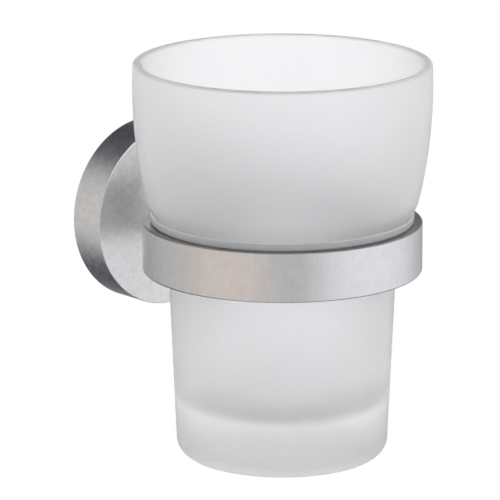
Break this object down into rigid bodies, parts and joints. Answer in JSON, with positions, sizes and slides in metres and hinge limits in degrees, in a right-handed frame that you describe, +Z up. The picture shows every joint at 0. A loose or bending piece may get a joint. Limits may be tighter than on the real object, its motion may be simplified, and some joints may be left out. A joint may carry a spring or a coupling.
{
  "type": "tumbler holder",
  "caption": "Wall-hung tumbler holder: a round plate and short post carry a flat satin ring, whose plastic liner holds a frosted flared tumbler that lifts out.",
  "frame": {"origin": "centre of the round wall plate, on the wall", "axes": "+Z up, along the ring's and the tumbler's axis; +Y into the wall, so the holder stands out towards -Y; +X to the right seen from the room. The part is the same left and right of X = 0."},
  "size_m": [0.0756, 0.0928, 0.1017],
  "materials": {
    "satin_chrome": "satin, fine upright brushing on the ring, cloudy satin on the plate",
    "zinc": "die-cast zinc, plain",
    "steel": "plain zinc-plated steel",
    "liner_plastic": "translucent matt plastic",
    "frosted_glass": "acid-frosted clear glass"
  },
  "bodies": {
    "holder": {"wall_bracket": "zinc", "cover_plate": "satin_chrome", "set_screw": "steel", "post": "satin_chrome", "locating_pin": "steel", "ring": "satin_chrome", "ring_screw": "steel", "lock_washer": "steel", "hex_nut": "steel", "ring_liner": "liner_plastic"},
    "tumbler": {"tumbler": "frosted_glass"}
  },
  "joints": [
    {"name": "tumbler_lift", "type": "slide", "parent": "holder", "child": "tumbler", "axis": [0, 0, 1], "range_m": [0, 0.08]}
  ]
}
